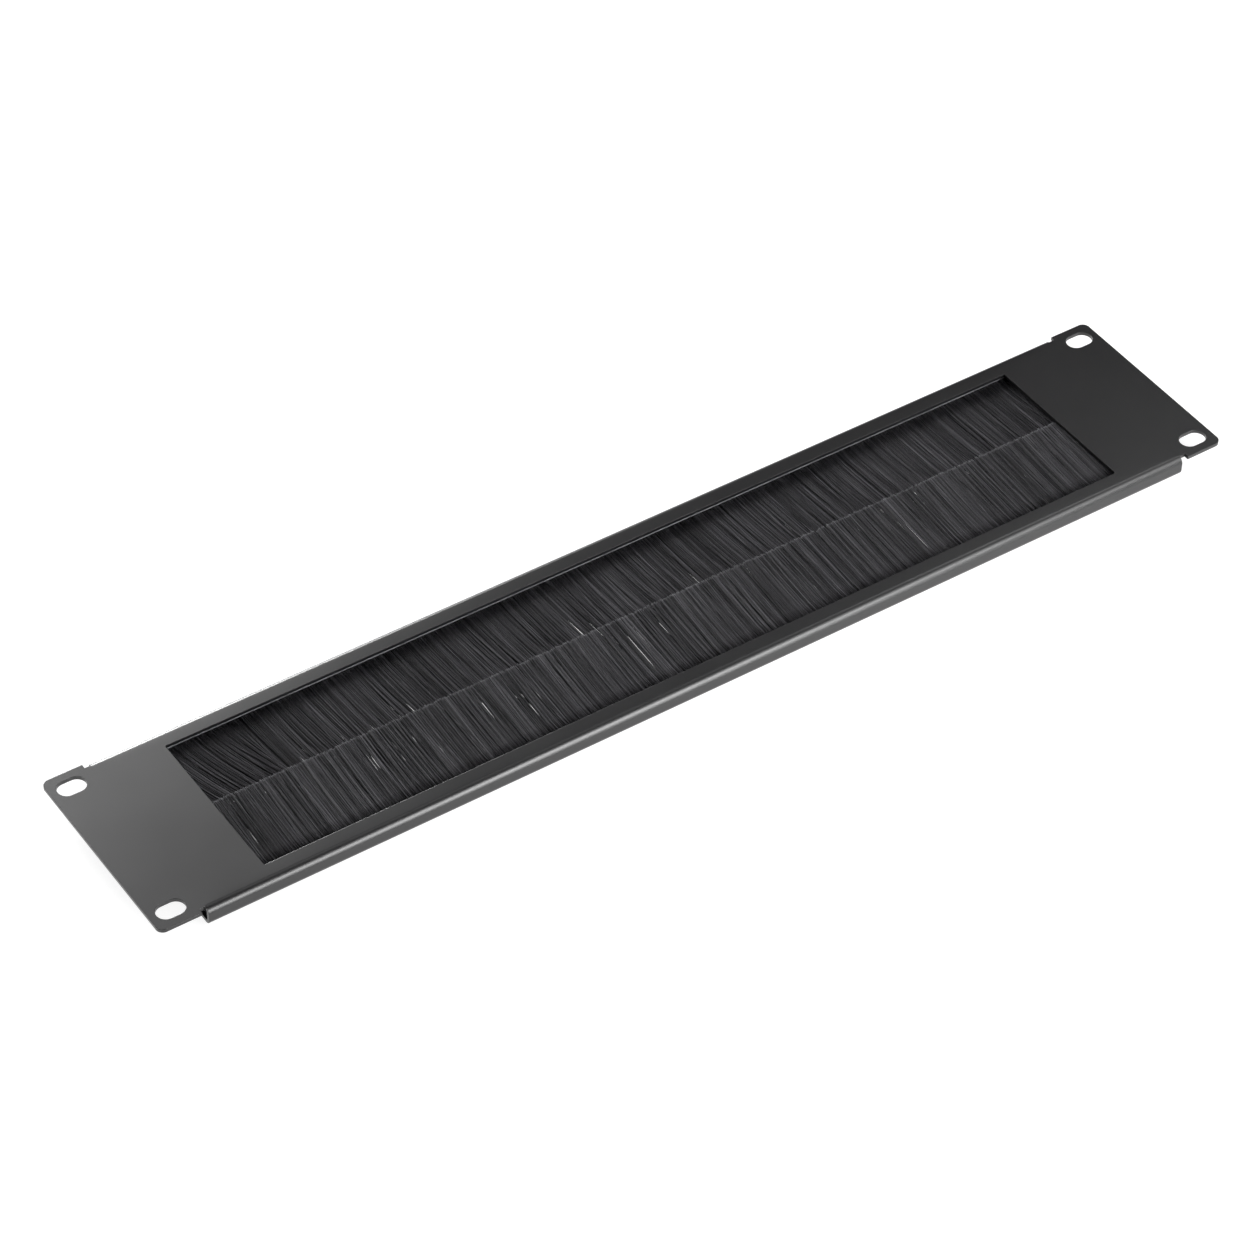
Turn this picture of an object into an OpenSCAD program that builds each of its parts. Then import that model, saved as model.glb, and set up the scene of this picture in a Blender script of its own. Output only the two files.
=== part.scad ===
// Rack brush strip panel, two rack units high: a flanged steel panel whose
// long window is closed by two strip brushes that meet near the middle.
// X runs along the panel, Y up it, Z out of its front face.
// The origin is the middle of the four slots, on the rear face of the ears.

/* [Panel] */
// Width of the panel over its ears
panel_w = 482.6; // [460:0.1:560]
// Height of the panel
panel_h = 88.1; // [80:0.1:130]
// Thickness of the sheet
sheet_t = 1.5; // [1:0.1:2.5]
// Radius of the four outer corners
corner_r = 3; // [0.5:0.5:6]
// Width of each flat ear, from the end of the panel to the folded edges
ear_w = 19.8; // [17:0.1:40]

/* [Window] */
// Flat left at each end of the window, from the end of the folded edges
window_margin = 27.6; // [5:0.1:80]
// Depth of the rim above and below the window
rim_d = 8.1; // [7.6:0.1:12]
// Radius in the corners of the window
window_r = 0.6; // [0.2:0.1:3]

/* [Mounting slots] */
// Distance of each slot's centre from the end of the panel
slot_inset_x = 8.75; // [6.5:0.05:13]
// Distance of each slot's centre from the long edge of the panel
slot_inset_y = 7.65; // [5:0.05:20]
// Length of a slot over its round ends
slot_l = 11.6; // [9:0.1:14]
// Width of a slot
slot_w = 8; // [5:0.1:8.5]

/* [Folds] */
// Depth of the fold, measured over both faces
fold_d = 8.6; // [7.8:0.1:12]
// Inside radius of each bend
bend_r = 1.2; // [0.6:0.1:1.6]
// Length of the lip that turns back under the brush, from the edge of the panel
lip_l = 7; // [5:0.1:7.4]
// Width of the relief notch at each end of a fold
notch_w = 2.6; // [1:0.1:3.5]
// Depth of the relief notch
notch_d = 2; // [1:0.1:4]

/* [Brush channel] */
// Distance that each channel stops short of the end of its fold
channel_inset = 1.5; // [0.5:0.5:20]
// Thickness of the channel's sheet
channel_t = 0.5; // [0.3:0.05:0.7]
// Depth of the channel, from its back to its mouth
channel_d = 5.5; // [5:0.1:5.8]
// Distance of the crimp from the back of the channel
crimp_start = 3.6; // [3.2:0.1:4]
// Inside radius of the channel's back corners
channel_r = 0.7; // [0.3:0.1:0.9]
// Clearance between the channel and the front sheet
channel_play = 0.2; // [0.05:0.05:0.4]
// Clearance between the channel's back and the fold
seat_gap = 0.4; // [0.2:0.1:0.6]

/* [Bristles] */
// Thickness of the bristles at the mouth of the channel
bristle_t = 3; // [2:0.1:3.4]
// Free length of the bristles beyond the channel
bristle_l = 40.2; // [37:0.1:48]
// Diameter of the wire that holds the bristles in the channel
wire_d = 1.4; // [1:0.1:2]
// Thickness of the bristles behind the wire, where they are folded round it
wire_wrap = 1.5; // [0.8:0.1:1.8]
// Outside radius of the bristles where they are folded round the wire
root_r = 1.5; // [0.8:0.1:1.7]
// Distance between neighbouring tufts
tuft_pitch = 4; // [3.6:0.1:12]
// Opening between neighbouring tufts at their tips
tuft_gap = 0.5; // [0.3:0.05:1]
// Opening between neighbouring tufts at the channel
root_gap = 0.15; // [0.1:0.05:0.3]
// Most that a tuft falls short of the full length
tip_uneven = 0.8; // [0:0.1:2]
// Sideways lean of the tufts' tips
tip_lean = 2; // [0:0.1:4]
// Clearance between the tips of one brush and the layer that they meet
tip_gap = 0.5; // [0.3:0.1:2]
// How far the tufts' layers reach into the mouth of the channel
root_hold = 1; // [0.5:0.1:1.5]

/* [Hidden] */

$fn = 64;
// Overshoot of a cutting shape past the face that it cuts
over = 1;

// Panel
edge_y = panel_h / 2;
fold_l = panel_w - 2 * ear_w;
window_w = fold_l - 2 * window_margin;
window_h = panel_h - 2 * rim_d;
slot_x = panel_w / 2 - slot_inset_x;
slot_y = edge_y - slot_inset_y;
bend_outer_r = bend_r + sheet_t;
bend_y = edge_y - bend_outer_r;
upper_bend_z = sheet_t - bend_outer_r;
lower_bend_z = sheet_t - fold_d + bend_outer_r;
lip_z = sheet_t - fold_d;

// Brush channel, in its own section: u runs out of the back, v across
channel_w = fold_d - 2 * sheet_t - channel_play;
channel_l = fold_l - 2 * channel_inset;
channel_back_y = edge_y - sheet_t - seat_gap;
channel_mid_z = lip_z + sheet_t + channel_w / 2;
bore_w = channel_w - 2 * channel_t;
mouth_y = channel_back_y - channel_d;

// Bristles: each brush has one long and one short layer, and the long layer
// of one brush lies over the short layer of the other
wire_u = channel_t + wire_wrap + wire_d / 2;
long_l = bristle_l;
short_l = 2 * mouth_y - bristle_l - tip_gap;
layer_t = bristle_t / 2;
tuft_count = floor(channel_l / tuft_pitch);
tuft_margin = (channel_l - tuft_count * tuft_pitch) / 2;
// Share of the lean that a tuft has reached at half its length
mid_lean = 0.3;
// Seeds that make the tips of the long and the short layer uneven
long_seed = 11;
short_seed = 29;

// ---- Panel ----

// Rectangle with rounded corners, centred on the origin
module round_rect(w, h, r) {
    square([w - 2 * r, h], center = true);
    square([w, h - 2 * r], center = true);
    for (x = [-1, 1], y = [-1, 1])
        translate([x * (w / 2 - r), y * (h / 2 - r)])
            circle(r);
}

// Slot with round ends, lying along X
module slot_outline() {
    square([slot_l - slot_w, slot_w], center = true);
    for (x = [-1, 1])
        translate([x * (slot_l - slot_w) / 2, 0])
            circle(d = slot_w);
}

// The flat of the panel, with its ears, notches, slots and window
module flat_outline() {
    difference() {
        round_rect(panel_w, panel_h, corner_r);
        for (y = [-1, 1]) {
            translate([0, y * (bend_y + edge_y) / 2])
                square([fold_l, bend_outer_r], center = true);
            for (x = [-1, 1])
                translate([x * (fold_l + notch_w) / 2, y * (edge_y + (over - notch_d) / 2)])
                    square([notch_w, notch_d + over], center = true);
        }
        round_rect(window_w, window_h, window_r);
        for (x = [-1, 1], y = [-1, 1])
            translate([x * slot_x, y * slot_y])
                slot_outline();
    }
}

// One quarter of a bend, in the section of the fold
module bend_quarter(z, up) {
    intersection() {
        translate([bend_y, z])
            difference() {
                circle(bend_outer_r);
                circle(bend_r);
            }
        translate([bend_y, up ? z : z - bend_outer_r])
            square([bend_outer_r, bend_outer_r]);
    }
}

// Section of one fold: bend, web, bend and the lip that turns back
module fold_section() {
    bend_quarter(upper_bend_z, true);
    translate([edge_y - sheet_t, lower_bend_z])
        square([sheet_t, upper_bend_z - lower_bend_z]);
    bend_quarter(lower_bend_z, false);
    translate([edge_y - lip_l, lip_z])
        square([lip_l - bend_outer_r, sheet_t]);
}

// Stands a section in Y and Z and extrudes it along X
module along_panel(length) {
    rotate([90, 0, 90])
        linear_extrude(height = length, center = true)
            children();
}

module panel() {
    color([0.27, 0.27, 0.28])
        union() {
            linear_extrude(height = sheet_t)
                flat_outline();
            along_panel(fold_l)
                for (side = [0, 1])
                    mirror([side, 0])
                        fold_section();
        }
}

// ---- Strip brushes ----

// Half of a strip's section that is wide at the back and narrows to the mouth
module crimped_outline(back, width, mouth, r) {
    translate([back + r, -width / 2])
        square([crimp_start - back - r, width]);
    translate([back, r - width / 2])
        square([r, width - 2 * r]);
    for (side = [-1, 1])
        translate([back + r, side * (width / 2 - r)])
            circle(r);
    polygon([
        [crimp_start, -width / 2],
        [channel_d, -mouth / 2],
        [channel_d, mouth / 2],
        [crimp_start, width / 2]
    ]);
}

// Section of the channel: a U of thin sheet, crimped in at its mouth
module channel_section() {
    difference() {
        crimped_outline(0, channel_w, bristle_t + 2 * channel_t, channel_r + channel_t);
        crimped_outline(channel_t, bore_w, bristle_t, channel_r);
        translate([channel_d, -bristle_t / 2])
            square([over, bristle_t]);
    }
}

// Section of the bristles where they are folded round the core wire
module bristle_root_section() {
    difference() {
        crimped_outline(channel_t, bore_w, bristle_t, root_r);
        translate([wire_u, 0])
            circle(d = wire_d);
    }
}

// Corners of one tuft, from its left root over its tip to its right root; the
// tip is cut on a slope, and neither of its corners passes the tuft's length
function tuft(x, length, slope) =
    let (
        root = tuft_pitch / 2 - root_gap / 2,
        tip = tuft_pitch / 2 - tuft_gap / 2,
        half = (root + tip) / 2,
        bow = mid_lean * tip_lean
    )
    [
        [x - root, 0],
        [x - half + bow, length / 2],
        [x - tip + tip_lean, length - max(slope, 0)],
        [x + tip + tip_lean, length + min(slope, 0)],
        [x + half + bow, length / 2],
        [x + root, 0]
    ];

// Outline of one layer of tufts, with its root line on X
module tuft_layer(length, seed, count, margin) {
    short_by = rands(0, tip_uneven, count, seed);
    slopes = rands(-tip_uneven / 2, tip_uneven / 2, count, seed + 1);
    first = -channel_l / 2 + margin + tuft_pitch / 2;
    tufts = [
        for (i = [0:count - 1])
            each tuft(first + i * tuft_pitch, length - short_by[i], slopes[i])
    ];
    polygon(concat(
        [[-channel_l / 2, -root_hold]],
        [[-channel_l / 2, 0]],
        tufts,
        [[channel_l / 2, 0]],
        [[channel_l / 2, -root_hold]]
    ));
}

// The lower brush lies along the lower edge, its bristles pointing up the panel
module lower_place() {
    translate([0, -channel_back_y, channel_mid_z])
        children();
}

// The upper brush is the same strip, turned half round about X
module upper_place() {
    translate([0, 0, channel_mid_z])
        rotate([180, 0, 0])
            translate([0, -channel_back_y, 0])
                children();
}

module channel() {
    color([0.55, 0.56, 0.58])
        along_panel(channel_l)
            channel_section();
}

module core_wire() {
    color([0.62, 0.62, 0.64])
        translate([0, wire_u, 0])
            rotate([0, 90, 0])
                cylinder(h = channel_l, d = wire_d, center = true);
}

module bristles() {
    color([0.12, 0.12, 0.13])
        union() {
            along_panel(channel_l)
                bristle_root_section();
            translate([0, channel_d, 0])
                linear_extrude(height = layer_t)
                    tuft_layer(long_l, long_seed, tuft_count, tuft_margin);
            translate([0, channel_d, -layer_t])
                linear_extrude(height = layer_t)
                    tuft_layer(short_l, short_seed, tuft_count - 1, tuft_margin + tuft_pitch / 2);
        }
}

panel();
upper_place() channel();  // upper_channel
upper_place() core_wire();  // upper_core_wire
upper_place() bristles();  // upper_bristles
lower_place() channel();  // lower_channel
lower_place() core_wire();  // lower_core_wire
lower_place() bristles();  // lower_bristles
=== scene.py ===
import logging
import math
import random
from dataclasses import dataclass, field
from enum import Enum
from typing import Iterable, Mapping, Sequence, Union

import bmesh
import bpy
from mathutils import Matrix, Vector, noise


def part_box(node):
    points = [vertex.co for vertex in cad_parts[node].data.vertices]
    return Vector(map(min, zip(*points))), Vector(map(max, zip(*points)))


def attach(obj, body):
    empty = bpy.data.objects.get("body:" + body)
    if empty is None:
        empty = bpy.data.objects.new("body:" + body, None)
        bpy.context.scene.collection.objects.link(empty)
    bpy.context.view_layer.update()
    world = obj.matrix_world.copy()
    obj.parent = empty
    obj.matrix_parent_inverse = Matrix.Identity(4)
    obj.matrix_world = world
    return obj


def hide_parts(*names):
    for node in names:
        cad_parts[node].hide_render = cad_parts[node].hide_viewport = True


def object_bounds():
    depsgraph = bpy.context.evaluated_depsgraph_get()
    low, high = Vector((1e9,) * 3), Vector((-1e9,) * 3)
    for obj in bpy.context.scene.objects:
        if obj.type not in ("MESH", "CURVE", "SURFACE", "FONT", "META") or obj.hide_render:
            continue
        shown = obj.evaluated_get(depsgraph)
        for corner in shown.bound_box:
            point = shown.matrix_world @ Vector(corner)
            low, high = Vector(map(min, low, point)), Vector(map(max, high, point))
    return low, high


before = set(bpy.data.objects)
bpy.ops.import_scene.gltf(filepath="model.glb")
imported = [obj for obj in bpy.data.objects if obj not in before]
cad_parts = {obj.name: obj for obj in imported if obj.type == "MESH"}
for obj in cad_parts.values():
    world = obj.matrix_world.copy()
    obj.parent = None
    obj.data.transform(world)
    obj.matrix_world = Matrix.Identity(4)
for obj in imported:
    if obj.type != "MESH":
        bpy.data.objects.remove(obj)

logging.basicConfig(level=logging.INFO, format="%(name)s: %(message)s")
log = logging.getLogger("brush_panel")

MM = 0.001
CAD_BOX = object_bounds()
BODY = "root"
Colour = tuple[float, float, float]
Number = Union[int, float]
Setting = Union[str, int, bool]
Key = Union[str, int]
WHITE = (1.0, 1.0, 1.0, 1.0)


# ---- Shader expressions ----


class Field:
    """A socket that carries a number over a surface; sums and products of it add Math nodes."""

    def __init__(self, recipe: "Recipe", socket: bpy.types.NodeSocket) -> None:
        """Keeps the socket and the recipe whose tree it belongs to."""
        self.recipe = recipe
        self.socket = socket

    def math(self, operation: str, *others: Union["Field", Number], first: bool = True) -> "Field":
        """Adds one Math node.

        Args:
            operation: The Math node's operation.
            others: The other operands, as fields or plain numbers.
            first: Whether this field is the first operand or the last.

        Returns:
            The field that comes out of the node.
        """
        operands = [self, *others] if first else [*others, self]
        sockets = dict(enumerate(operands))
        return self.recipe.node("ShaderNodeMath", {"operation": operation}, sockets)

    def __add__(self, other: Union["Field", Number]) -> "Field":
        """This field plus another."""
        return self.math("ADD", other)

    __radd__ = __add__

    def __sub__(self, other: Union["Field", Number]) -> "Field":
        """This field less another."""
        return self.math("SUBTRACT", other)

    def __rsub__(self, other: Number) -> "Field":
        """A number less this field."""
        return self.math("SUBTRACT", other, first=False)

    def __mul__(self, other: Union["Field", Number]) -> "Field":
        """This field times another."""
        return self.math("MULTIPLY", other)

    __rmul__ = __mul__

    def __truediv__(self, other: Union["Field", Number]) -> "Field":
        """This field over another."""
        return self.math("DIVIDE", other)

    def __abs__(self) -> "Field":
        """The size of this field without its sign."""
        return self.math("ABSOLUTE")

    def ramp(self, low: Number, high: Number) -> "Field":
        """A smooth step of this field, from 0 at low to 1 at high."""
        settings = {"interpolation_type": "SMOOTHSTEP"}
        return self.recipe.node("ShaderNodeMapRange", settings,
                                {"Value": self, "From Min": low, "From Max": high})


Value = Union[Field, Number, Sequence[float]]


class Recipe:
    """A material or a world whose node tree is being written."""

    def __init__(self, owner: Union[bpy.types.Material, bpy.types.World]) -> None:
        """Empties the owner's tree, ready for new nodes.

        Args:
            owner: The material or the world that holds the tree.
        """
        self.owner = owner
        self.owner.use_nodes = True
        self.tree = self.owner.node_tree
        self.tree.nodes.clear()

    @classmethod
    def material(cls, name: str) -> "Recipe":
        """Starts a new material of that name."""
        return cls(bpy.data.materials.new(name))

    @staticmethod
    def _find(sockets: Iterable[bpy.types.NodeSocket], key: Key) -> bpy.types.NodeSocket:
        """The socket with that place or that name, among those in use."""
        live = [socket for socket in sockets if socket.enabled]
        if isinstance(key, int):
            return live[key]
        return next(socket for socket in live if socket.name == key)

    def node(self, kind: str, settings: Mapping[str, Setting], sockets: Mapping[Key, Value],
             output: Key = 0) -> Field:
        """Adds one node.

        Args:
            kind: The node's type.
            settings: Its properties.
            sockets: A value or a field for each input, by name or by place.
            output: The output to hand back, by name or by place.

        Returns:
            The chosen output.
        """
        made = self.tree.nodes.new(kind)
        for name, value in settings.items():
            setattr(made, name, value)
        for key, value in sockets.items():
            target = self._find(made.inputs, key)
            if isinstance(value, Field):
                self.tree.links.new(value.socket, target)
            else:
                target.default_value = value
        return Field(self, self._find(made.outputs, output))

    def sibling(self, first: Field, output: str) -> Field:
        """Another output of the node that a field comes from."""
        return Field(self, first.socket.node.outputs[output])

    def place(self) -> Field:
        """Where a point lies on the object, in metres."""
        return self.node("ShaderNodeTexCoord", {}, {}, "Object")

    def axes(self) -> tuple[Field, Field, Field]:
        """The three coordinates of a point on the object, in metres."""
        first = self.node("ShaderNodeSeparateXYZ", {}, {0: self.place()}, "X")
        return first, self.sibling(first, "Y"), self.sibling(first, "Z")

    def attribute(self, name: str) -> Field:
        """A number that the mesh carries at its vertices."""
        return self.node("ShaderNodeAttribute", {"attribute_name": name}, {}, "Fac")

    def noise(self, size: float, detail: float = 2.0,
              stretch: tuple[float, float, float] = (1.0, 1.0, 1.0)) -> Field:
        """Soft noise from 0 to 1.

        Args:
            size: The width of one patch, in metres.
            detail: The number of finer layers.
            stretch: How many times longer the patches are along each axis.

        Returns:
            The noise's value.
        """
        scale = tuple(1.0 / length for length in stretch)
        spot = self.node("ShaderNodeMapping", {}, {"Vector": self.place(), "Scale": scale},
                         "Vector")
        sockets = {"Vector": spot, "Scale": 1.0 / size, "Detail": detail}
        return self.node("ShaderNodeTexNoise", {}, sockets)

    def blend(self, amount: Union[Field, Number], low: Union[Field, Colour],
              high: Union[Field, Colour]) -> Field:
        """A colour between two others, at an amount from 0 to 1."""
        ends = [(*end, 1.0) if isinstance(end, tuple) else end for end in (low, high)]
        return self.node("ShaderNodeMix", {"data_type": "RGBA"},
                         {"Factor": amount, "A": ends[0], "B": ends[1]}, "Result")

    def bump(self, height: Field, distance: float, below: Union[Field, None] = None) -> Field:
        """A normal that follows a height.

        Args:
            height: The height, in units of distance.
            distance: The length of one unit of height, in metres.
            below: The normal that the bump lies on.

        Returns:
            The bumped normal.
        """
        sockets: dict[Key, Value] = {"Height": height, "Distance": distance}
        if below is not None:
            sockets["Normal"] = below
        return self.node("ShaderNodeBump", {}, sockets)

    def rounded(self, radius: float) -> Field:
        """A normal that rounds sharp edges off to a radius in metres."""
        return self.node("ShaderNodeBevel", {"samples": 8}, {"Radius": radius})

    def finish(self, **sockets: Value) -> bpy.types.Material:
        """Ends the tree in one Principled shader.

        Args:
            sockets: Its sockets, with _ for the spaces in their names.

        Returns:
            The finished material.
        """
        named = {name.replace("_", " "): value for name, value in sockets.items()}
        shader = self.node("ShaderNodeBsdfPrincipled", {}, named)
        return self.close(shader)

    def close(self, shader: Field) -> Union[bpy.types.Material, bpy.types.World]:
        """Joins a shader to the output and hands back the material or the world."""
        kind = "World" if isinstance(self.owner, bpy.types.World) else "Material"
        made = self.tree.nodes.new(f"ShaderNodeOutput{kind}")
        self.tree.links.new(shader.socket, made.inputs["Surface"])
        return self.owner


# ---- Finishes ----


@dataclass(frozen=True)
class PowderCoat:
    """Satin black powder coat with a fine orange peel, slightly rolled beside the folds."""

    flat_half_h: float
    edge_half_h: float
    fold_half_l: float
    dark: Colour = (0.0040, 0.0038, 0.0044)
    light: Colour = (0.0054, 0.0051, 0.0059)
    roughness: float = 0.33
    reflectance: float = 0.78
    edge_radius: float = 0.22 * MM
    peel_size: float = 0.9 * MM
    peel_height: float = 0.004 * MM
    roll_drop: float = 0.02 * MM
    roll_fade: float = 12 * MM
    cloud_size: float = 40 * MM
    grain_size: float = 0.25 * MM

    def material(self) -> bpy.types.Material:
        """Writes the powder coat.

        Returns:
            The material.
        """
        recipe = Recipe.material("powder_coat")
        x, y, _ = recipe.axes()
        cloud = recipe.noise(self.cloud_size, detail=3.0)
        grain = recipe.noise(self.grain_size, detail=1.0)
        peel = recipe.noise(self.peel_size, detail=2.0)
        across = (abs(y) - self.flat_half_h) / (self.edge_half_h - self.flat_half_h)
        rise = across.math("MAXIMUM", 0.0)
        along = 1.0 - abs(x).ramp(self.fold_half_l - self.roll_fade, self.fold_half_l)
        roll = rise * rise * along * -1.0
        normal = recipe.rounded(self.edge_radius)
        normal = recipe.bump(roll, self.roll_drop, below=normal)
        normal = recipe.bump(peel, self.peel_height, below=normal)
        colour = recipe.blend(cloud * 0.7 + grain * 0.3, self.dark, self.light)
        gloss = self.roughness + 0.05 * (cloud - 0.5) + 0.08 * (grain - 0.5)
        return recipe.finish(Base_Color=colour, Roughness=gloss, Normal=normal,
                             Specular_IOR_Level=self.reflectance)


@dataclass(frozen=True)
class GalvanisedSheet:
    """Zinc-coated steel sheet with a faint spangle."""

    dark: Colour = (0.30, 0.31, 0.33)
    light: Colour = (0.44, 0.45, 0.47)
    spangle: float = 2.5 * MM
    cloud_size: float = 12 * MM
    scratch_size: float = 0.3 * MM
    scratch_height: float = 0.01 * MM
    edge_radius: float = 0.15 * MM

    def material(self) -> bpy.types.Material:
        """Writes the zinc sheet.

        Returns:
            The material.
        """
        recipe = Recipe.material("galvanised_sheet")
        sockets = {"Vector": recipe.place(), "Scale": 1.0 / self.spangle}
        cells = recipe.node("ShaderNodeTexVoronoi", {}, sockets, "Color")
        tone = recipe.node("ShaderNodeSeparateXYZ", {}, {0: cells}, "X")
        cloud = recipe.noise(self.cloud_size, detail=3.0)
        scratch = recipe.noise(self.scratch_size, stretch=(60.0, 1.0, 1.0))
        mix = tone * 0.6 + cloud * 0.4
        edge = recipe.rounded(self.edge_radius)
        normal = recipe.bump(scratch, self.scratch_height, below=edge)
        return recipe.finish(Base_Color=recipe.blend(mix, self.dark, self.light),
                             Roughness=0.38 + 0.14 * tone + 0.06 * scratch,
                             Metallic=1.0, Normal=normal)


@dataclass(frozen=True)
class DrawnWire:
    """Zinc-plated steel wire with the fine lines of the drawing die."""

    dark: Colour = (0.36, 0.36, 0.38)
    light: Colour = (0.52, 0.52, 0.54)
    line_size: float = 0.15 * MM
    line_height: float = 0.008 * MM

    def material(self) -> bpy.types.Material:
        """Writes the wire.

        Returns:
            The material.
        """
        recipe = Recipe.material("drawn_wire")
        lines = recipe.noise(self.line_size, stretch=(120.0, 1.0, 1.0))
        return recipe.finish(Base_Color=recipe.blend(lines, self.dark, self.light),
                             Roughness=0.26 + 0.16 * lines, Metallic=1.0,
                             Normal=recipe.bump(lines, self.line_height))


@dataclass(frozen=True)
class BristleNylon:
    """Black nylon filament with a painted sheen: each one gets its own amount of paler base colour,
    standing in for the highlights that lamps put on shiny strands; the tips are paler, partly for
    frosted cut ends and partly as painted light where they catch the lamps behind.
    """

    dark: Colour = (0.0040, 0.0038, 0.0046)
    # Painted sheen: this paler colour stands in for the highlights that lamps put on shiny strands.
    light: Colour = (0.085, 0.082, 0.092)
    # Paler tips: partly the frosted cut ends of the nylon, partly painted light where the tips
    # catch the lamps behind.
    tip: Colour = (0.16, 0.16, 0.17)
    tip_start: float = 0.975
    tip_share: float = 0.8
    streak_size: float = 0.35 * MM
    streak_height: float = 0.01 * MM

    def material(self) -> bpy.types.Material:
        """Writes the nylon.

        Returns:
            The material.
        """
        recipe = Recipe.material("bristle_nylon")
        # Each filament's painted sheen, a painted highlight from 0 to 1, read from the mesh.
        tint = recipe.attribute("tint")
        along = recipe.attribute("along")
        streak = recipe.noise(self.streak_size, stretch=(1.0, 40.0, 1.0))
        # The tip ramp: frosted cut ends plus painted light where the tips catch the lamps behind.
        cut_and_lit_tip = along.ramp(self.tip_start, 1.0)
        # Painted sheen: filaments with a high value get a paler base colour in place of their
        # highlights.
        body = recipe.blend(tint * 0.8 + streak * 0.2, self.dark, self.light)
        return recipe.finish(Base_Color=recipe.blend(cut_and_lit_tip * self.tip_share, body, self.tip),
                             Roughness=0.28 + 0.10 * tint + 0.08 * streak,
                             Normal=recipe.bump(streak, self.streak_height))


@dataclass(frozen=True)
class StudioPaper:
    """White floor paper that stays white to the eye and keeps a soft shadow."""

    white: Colour = (0.32, 0.32, 0.32)
    fibre: Colour = (0.30, 0.30, 0.30)
    shown: float = 0.95
    gloss: float = 0.18
    index: float = 1.5
    fibre_size: float = 4 * MM

    def material(self) -> bpy.types.Material:
        """Writes the paper.

        Returns:
            The material.
        """
        recipe = Recipe.material("studio_paper")
        colour = recipe.blend(recipe.noise(self.fibre_size), self.fibre, self.white)
        matt = recipe.node("ShaderNodeBsdfDiffuse", {}, {"Color": colour})
        path = recipe.node("ShaderNodeLightPath", {}, {}, "Is Camera Ray")
        glossy = recipe.sibling(path, "Is Glossy Ray")
        through = recipe.sibling(path, "Is Transmission Ray")
        seen = path + glossy + through
        glow = recipe.node("ShaderNodeEmission", {},
                           {"Color": WHITE, "Strength": seen * self.shown})
        lit = recipe.node("ShaderNodeAddShader", {}, {0: matt, 1: glow})
        shine = recipe.node("ShaderNodeBsdfAnisotropic", {},
                            {"Color": WHITE, "Roughness": self.gloss})
        facing = recipe.node("ShaderNodeFresnel", {}, {"IOR": self.index})
        return recipe.close(recipe.node("ShaderNodeMixShader", {}, {0: facing, 1: lit, 2: shine}))


# ---- The panel and its brushes ----


def dress(node: str, material: bpy.types.Material) -> None:
    """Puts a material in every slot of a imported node.

    Args:
        node: The node's name.
        material: The finish that it gets.
    """
    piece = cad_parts[node]
    if not piece.material_slots:
        piece.data.materials.append(material)
    for place in piece.material_slots:
        place.material = material
    log.info("dressed %s in %s", node, material.name)


@dataclass
class FlangedPanel:
    """The folded steel panel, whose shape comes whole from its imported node."""

    node: str = "panel"
    ear_width: float = 19.8 * MM
    bend_radius: float = 2.7 * MM
    roll_width: float = 3.0 * MM

    def build(self) -> None:
        """Dresses the panel in its powder coat."""
        low, high = (Vector(corner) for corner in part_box(self.node))
        finish = PowderCoat(flat_half_h=high.y - self.bend_radius - self.roll_width,
                            edge_half_h=high.y - self.bend_radius,
                            fold_half_l=high.x - self.ear_width)
        dress(self.node, finish.material())


class Side(Enum):
    """Which long edge of the panel a brush lies along, and which way it points."""

    LOWER = ("lower", 1.0)
    UPPER = ("upper", -1.0)

    @property
    def word(self) -> str:
        """The side's name in the names of the nodes."""
        return self.value[0]

    @property
    def up(self) -> float:
        """1 where the bristles point up the panel, -1 where they point down."""
        return self.value[1]


class Layer(Enum):
    """The half of a brush's thickness that lies towards the front or the rear."""

    FRONT = 1.0
    REAR = -1.0


@dataclass
class Sweep:
    """A stretch of a brush whose tips are combed to one side."""

    from_x: float
    to_x: float
    shift: float

    def at(self, x: float) -> float:
        """How far the tips at x are combed sideways, in metres."""
        t = (x - self.from_x) / (self.to_x - self.from_x)
        t = min(max(t, 0.0), 1.0)
        return self.shift * t * t * (3.0 - 2.0 * t)


@dataclass
class FilamentCurve:
    """The path of one filament, from inside the channel to its tip."""

    root: Vector
    length: float
    radius: float
    up: float
    lean: float
    gather: float
    wave: float
    wave_turns: float
    phase: float
    spread: float
    rise: float
    # tone: how strongly this filament's painted sheen, a painted highlight in its base colour,
    # shows.
    tone: float
    lean_bend: float = 1.4
    gather_rate: float = 3.0
    squeeze_share: float = 0.07

    def point(self, t: float) -> Vector:
        """Where the filament's middle lies at t, from 0 at the root to 1 at the tip."""
        side = self.lean * t ** self.lean_bend + self.gather * min(1.0, self.gather_rate * t)
        side += self.wave * t * math.sin(math.tau * self.wave_turns * t + self.phase)
        squeeze = 1.0 - min(t / self.squeeze_share, 1.0)
        return self.root + Vector((side, self.up * self.length * t,
                                   self.spread * squeeze + self.rise * t))


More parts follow.
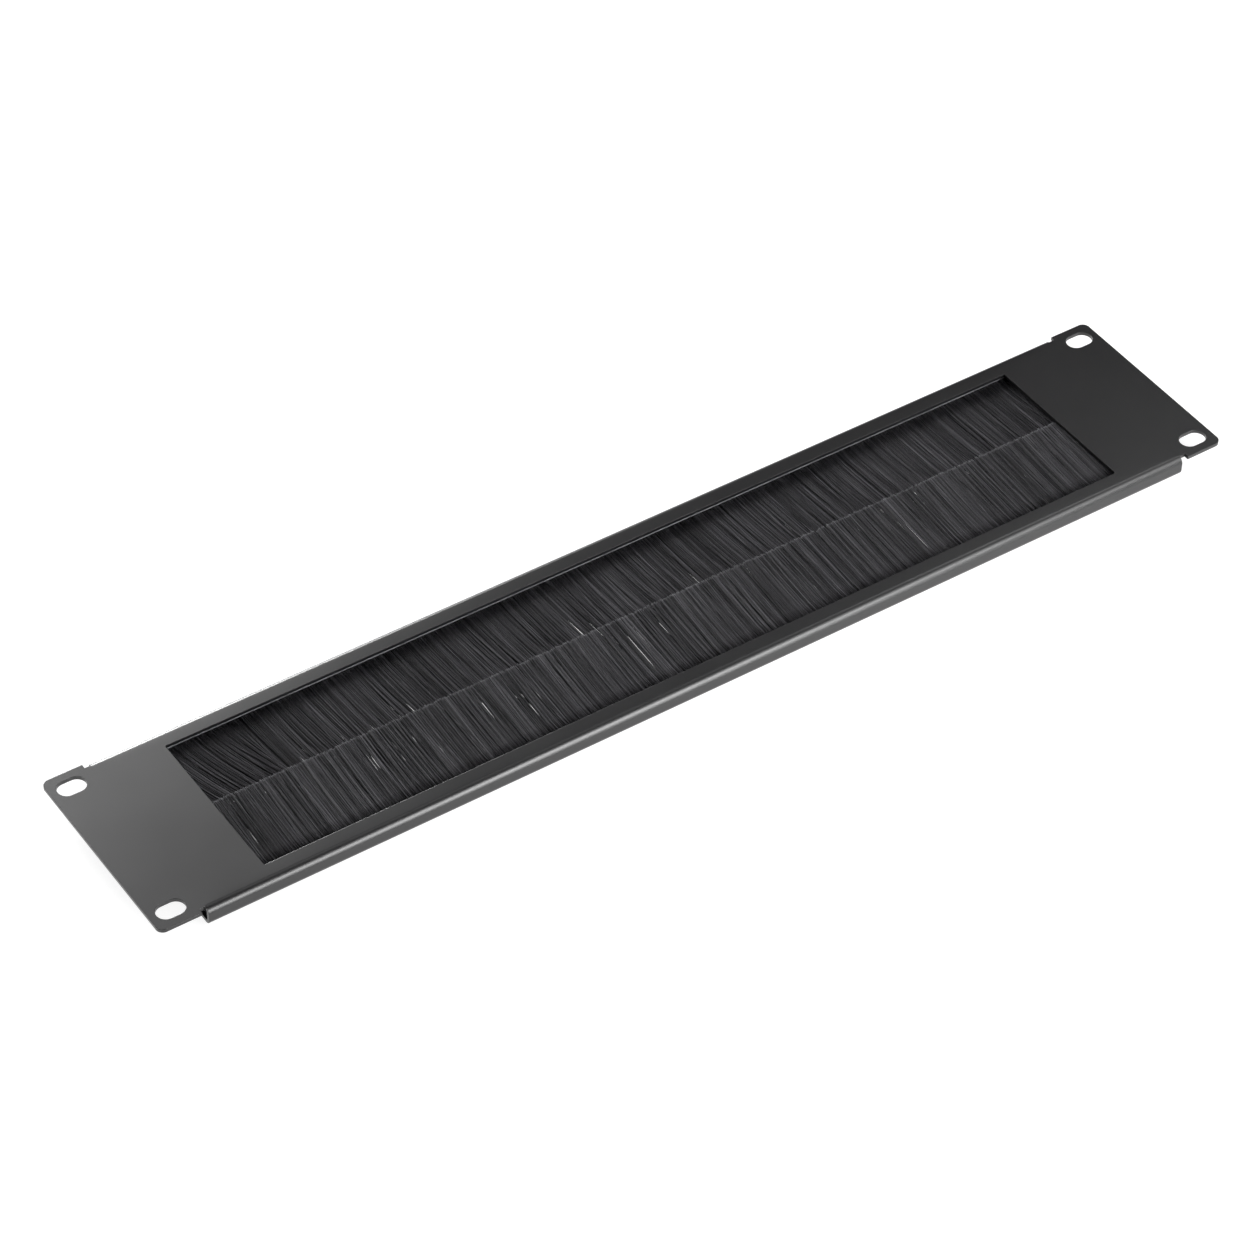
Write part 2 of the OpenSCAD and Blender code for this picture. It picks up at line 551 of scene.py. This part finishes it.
@dataclass(frozen=True)
class Scatter:
    """How far the filaments of a brush differ from one another."""

    clump_width: tuple[float, float] = (0.3 * MM, 0.75 * MM)
    clump_lean: float = 0.45 * MM
    clump_lift: float = 0.16 * MM
    clump_pull: tuple[float, float] = (0.35, 0.75)
    # These tone settings spread the filaments' painted sheen, a painted highlight, by clump and by
    # filament.
    clump_tone_power: float = 1.5
    clump_tone_share: float = 0.65
    own_tone_power: int = 3
    own_tone_share: float = 0.6
    stray: float = 0.22 * MM
    wild_stray: float = 1.6 * MM
    wild_share: float = 0.04
    girth: tuple[float, float] = (0.75, 1.2)
    wave: float = 0.08 * MM
    wave_turns: tuple[float, float] = (0.3, 0.9)
    drift: float = 0.8
    drift_length: float = 26 * MM
    drift_seed: float = 3.1
    root_spread: float = 0.5 * MM
    tip_play: float = 0.5 * MM


@dataclass
class Brush:
    """One strip brush: channel, core wire and thousands of filaments in two layers."""

    side: Side
    combing: Sequence[Sweep] = ()
    lean: float = 1.6 * MM
    rise: Mapping[Layer, float] = field(default_factory=lambda: {Layer.FRONT: 0.0, Layer.REAR: 0.0})
    count: int = 6000
    radius: float = 0.165 * MM
    rings: int = 5
    ring_power: float = 0.85
    channel_depth: float = 5.5 * MM
    root_depth: float = 2.7 * MM
    thickness: float = 3.0 * MM
    tuck: float = 1.0 * MM
    scatter: Scatter = Scatter()
    seed: int = 7
    pieces: list[bpy.types.Object] = field(default_factory=list)

    @property
    def node(self) -> str:
        """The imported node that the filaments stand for."""
        return f"{self.side.word}_bristles"

    def build(self, nylon: bpy.types.Material, zinc: bpy.types.Material,
              wire: bpy.types.Material) -> None:
        """Dresses the channel and the wire and makes the filaments.

        Args:
            nylon: The filaments' material.
            zinc: The channel's material.
            wire: The core wire's material.
        """
        dress(f"{self.side.word}_channel", zinc)
        dress(f"{self.side.word}_core_wire", wire)
        for layer in Layer:
            name = f"{self.node}_{layer.name.lower()}"
            piece = self._filaments(name, layer)
            piece.data.materials.append(nylon)
            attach(piece, BODY)
            self.pieces.append(piece)
            log.info("made %s with %d filaments", name, self.count)
        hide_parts(self.node)

    def _reach(self, layer: Layer) -> float:
        """The y of a layer's tips; the short layer tucks in under the other brush's tips."""
        boxes = {side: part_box(f"{side.word}_bristles") for side in Side}
        tips = {Side.LOWER: boxes[Side.LOWER][1][1], Side.UPPER: boxes[Side.UPPER][0][1]}
        long_layer = Layer.FRONT if self.side is Side.LOWER else Layer.REAR
        if layer is long_layer:
            return tips[self.side]
        other = Side.UPPER if self.side is Side.LOWER else Side.LOWER
        return tips[other] + self.side.up * self.tuck

    def _curves(self, layer: Layer) -> list[FilamentCurve]:
        """Works out the path of each filament of a layer.

        Args:
            layer: The layer, front or rear.

        Returns:
            One curve for each filament, from one end of the strip to the other.
        """
        dice = random.Random(f"{self.seed} {layer.name}")
        play = self.scatter
        low, high = (Vector(corner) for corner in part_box(f"{self.side.word}_channel"))
        middle_z = (low.z + high.z) / 2
        mouth = low.y if self.side is Side.UPPER else high.y
        root_y = mouth - self.side.up * (self.channel_depth - self.root_depth)
        full = abs(self._reach(layer) - root_y)
        step = (high.x - low.x - 4 * self.radius) / self.count
        curves = []
        clump_end = low.x
        for index in range(self.count):
            x = low.x + 2 * self.radius + (index + dice.random()) * step
            if x > clump_end:
                width = dice.uniform(*play.clump_width)
                clump_mid, clump_end = x + width / 2, x + width
                clump_lean = dice.gauss(0.0, play.clump_lean)
                clump_lift = dice.gauss(0.0, play.clump_lift)
                # Each clump's share of painted sheen, a painted highlight.
                clump_sheen = dice.random() ** play.clump_tone_power
                pull = dice.uniform(*play.clump_pull)
            level = dice.random()
            z = layer.value * (self.radius + level * (self.thickness / 2 - 2 * self.radius))
            spot = (x / play.drift_length, play.drift_seed * self.seed, layer.value)
            drift = 1.0 + play.drift * noise.noise(Vector(spot))
            stray_size = play.stray if dice.random() > play.wild_share else play.wild_stray
            stray = dice.gauss(0.0, stray_size)
            combed = sum(sweep.at(x) for sweep in self.combing)
            curves.append(FilamentCurve(
                root=Vector((x, root_y, middle_z + z)),
                length=full - dice.random() ** 2 * play.tip_play,
                radius=self.radius * dice.uniform(*play.girth),
                up=self.side.up,
                lean=self.lean * drift + stray + combed + clump_lean,
                gather=pull * level * (clump_mid - x),
                wave=dice.gauss(0.0, play.wave),
                wave_turns=dice.uniform(*play.wave_turns),
                phase=dice.uniform(0.0, math.tau),
                spread=layer.value * play.root_spread * level,
                rise=self.rise[layer] + clump_lift,
                # The filament's painted sheen: a painted highlight in its base colour, from the
                # clump and from the filament itself.
                tone=min(1.0, play.clump_tone_share * clump_sheen
                         + play.own_tone_share * dice.random() ** play.own_tone_power),
            ))
        return curves

    def _filaments(self, name: str, layer: Layer) -> bpy.types.Object:
        """Makes one layer: a ring at each root, drawn out ring by ring to the tips.

        Args:
            name: The piece's name.
            layer: The layer, front or rear.

        Returns:
            The finished piece.
        """
        curves = self._curves(layer)
        dice = random.Random(self.seed)
        mesh = bmesh.new()
        # This attribute carries each filament's painted sheen, a painted highlight, to the
        # material.
        tint = mesh.verts.layers.float.new("tint")
        along = mesh.verts.layers.float.new("along")
        owner = mesh.verts.layers.int.new("owner")
        bmesh.ops.create_circle(mesh, segments=3, radius=self.radius, cap_ends=True,
                                matrix=Matrix.Rotation(-self.side.up * math.pi / 2, 4, "X"))
        while len(mesh.faces) < self.count:
            short = min(self.count - len(mesh.faces), len(mesh.faces))
            faces = mesh.faces[:short]
            corners = {corner for face in faces for corner in face.verts}
            sides = {side for face in faces for side in face.edges}
            bmesh.ops.duplicate(mesh, geom=[*corners, *sides, *faces])
        ends = mesh.faces[:]
        for index, (face, curve) in enumerate(zip(ends, curves)):
            twist = Matrix.Rotation(dice.uniform(0.0, math.tau), 3, "Y")
            start = curve.point(0.0)
            for corner in face.verts:
                corner.co = start + twist @ corner.co * (curve.radius / self.radius)
                corner[owner] = index
                # Every corner of a filament carries its painted sheen.
                corner[tint] = curve.tone
        for ring in range(1, self.rings + 1):
            t = (ring / self.rings) ** self.ring_power
            made = bmesh.ops.extrude_face_region(mesh, geom=ends)["geom"]
            if ring > 1:
                bmesh.ops.delete(mesh, geom=ends, context="FACES_ONLY")
            ends = [part for part in made if isinstance(part, bmesh.types.BMFace)]
            before = ((ring - 1) / self.rings) ** self.ring_power
            for corner in (part for part in made if isinstance(part, bmesh.types.BMVert)):
                curve = curves[corner[owner]]
                corner.co += curve.point(t) - curve.point(before)
                corner[along] = t
        bmesh.ops.recalc_face_normals(mesh, faces=mesh.faces)
        for face in mesh.faces:
            face.smooth = True
        for tip in (edge for face in ends for edge in face.edges):
            tip.smooth = False
        return self._finished(mesh, name)

    @staticmethod
    def _finished(mesh: bmesh.types.BMesh, name: str) -> bpy.types.Object:
        """Turns a finished mesh into a piece at the origin."""
        data = bpy.data.meshes.new(name)
        mesh.to_mesh(data)
        mesh.free()
        piece = bpy.data.objects.new(name, data)
        bpy.context.scene.collection.objects.link(piece)
        return piece


# ---- Studio ----


@dataclass
class Softbox:
    """A rectangular lamp that looks at the middle of the panel."""

    name: str
    azimuth: float
    elevation: float
    distance: float
    width: float
    height: float
    radiance: float

    def build(self, aim: Vector) -> None:
        """Hangs the lamp.

        Args:
            aim: The point that the lamp looks at.
        """
        data = bpy.data.lights.new(self.name, "AREA")
        data.shape = "RECTANGLE"
        data.size = self.width
        data.size_y = self.height
        data.energy = self.radiance * math.pi * self.width * self.height
        turn, lift = math.radians(self.azimuth), math.radians(self.elevation)
        level = math.cos(lift)
        away = Vector((math.sin(turn) * level, math.cos(turn) * level, math.sin(lift)))
        lamp = bpy.data.objects.new(self.name, data)
        lamp.location = aim + away * self.distance
        lamp.rotation_euler = away.to_track_quat("Z", "Y").to_euler()
        bpy.context.scene.collection.objects.link(lamp)
        log.info("hung %s", self.name)


@dataclass
class Studio:
    """White paper floor, softboxes and the camera."""

    camera_spot: Vector = field(default_factory=lambda: Vector((-0.6990, -1.0000, 1.1420)))
    camera_aim: Vector = field(default_factory=lambda: Vector((-0.01640, -0.00579, 0.0015)))
    roll: float = 0.888
    lens: float = 125.45
    sensor: float = 36.0
    paper_size: float = 8.0
    ambient: float = 0.01
    softboxes: Sequence[Softbox] = (
        Softbox("front_low_softbox", 164.2, 11.5, 1.3, 0.62, 0.49, 11.2),
        Softbox("front_high_softbox", 152.9, 27.4, 1.3, 0.45, 0.36, 11.7),
        Softbox("right_softbox", 129.5, 38.0, 1.3, 0.57, 0.43, 4.3),
        Softbox("back_softbox", 0.3, 22.5, 1.3, 0.68, 0.47, 27.0),
        Softbox("left_softbox", -38.0, 46.0, 1.3, 0.55, 0.65, 1.5),
        Softbox("back_right_key", 61.0, 49.0, 1.3, 0.25, 0.25, 5.0),
        Softbox("back_right_fill", 95.0, 46.0, 1.3, 1.00, 0.40, 1.3),
        Softbox("top_softbox", 43.0, 79.7, 1.3, 0.89, 0.48, 1.2),
    )

    def build(self) -> None:
        """Lays the paper, hangs the lamps and sets the camera and the view."""
        self._floor()
        self._sky()
        self._camera()
        for softbox in self.softboxes:
            softbox.build(Vector((0.0, 0.0, 0.0)))
        bpy.context.scene.view_settings.view_transform = "Standard"

    def _floor(self) -> None:
        """Lays the white paper under the lowest point of the panel."""
        mesh = bmesh.new()
        level = Matrix.Translation((0.0, 0.0, CAD_BOX[0][2]))
        bmesh.ops.create_grid(mesh, x_segments=4, y_segments=4, size=self.paper_size / 2,
                              matrix=level)
        data = bpy.data.meshes.new("paper_floor")
        mesh.to_mesh(data)
        mesh.free()
        floor = bpy.data.objects.new("paper_floor", data)
        floor.data.materials.append(StudioPaper().material())
        bpy.context.scene.collection.objects.link(floor)

    def _sky(self) -> None:
        """Lights the studio evenly and shows it white."""
        recipe = Recipe(bpy.data.worlds.new("studio"))
        seen = recipe.node("ShaderNodeLightPath", {}, {}, "Is Camera Ray")
        soft = recipe.node("ShaderNodeBackground", {}, {"Color": WHITE, "Strength": self.ambient})
        white = recipe.node("ShaderNodeBackground", {}, {"Color": WHITE})
        mixed = recipe.node("ShaderNodeMixShader", {}, {0: seen, 1: soft, 2: white})
        bpy.context.scene.world = recipe.close(mixed)

    def _camera(self) -> None:
        """Sets the camera where the long lens looks down along the panel."""
        data = bpy.data.cameras.new("camera")
        data.lens = self.lens
        data.sensor_width = self.sensor
        camera = bpy.data.objects.new("camera", data)
        sight = self.camera_aim - self.camera_spot
        look = sight.to_track_quat("-Z", "Y").to_matrix().to_4x4()
        turn = Matrix.Rotation(math.radians(self.roll), 4, "Z")
        camera.matrix_world = Matrix.Translation(self.camera_spot) @ look @ turn
        bpy.context.scene.collection.objects.link(camera)
        bpy.context.scene.camera = camera


def main() -> None:
    """Builds the panel, its brushes and the studio."""
    Studio().build()
    FlangedPanel().build()
    nylon = BristleNylon().material()
    zinc = GalvanisedSheet().material()
    wire = DrawnWire().material()
    corner_sweep = Sweep(from_x=-160 * MM, to_x=-174 * MM, shift=8 * MM)
    brushes = [
        Brush(Side.LOWER, seed=7, rise={Layer.FRONT: 0.9 * MM, Layer.REAR: 0.4 * MM}),
        Brush(Side.UPPER, seed=19, combing=(corner_sweep,), lean=2.4 * MM,
              rise={Layer.FRONT: -1.2 * MM, Layer.REAR: -0.3 * MM}),
    ]
    for brush in brushes:
        brush.build(nylon, zinc, wire)


if __name__ == "__main__":
    main()
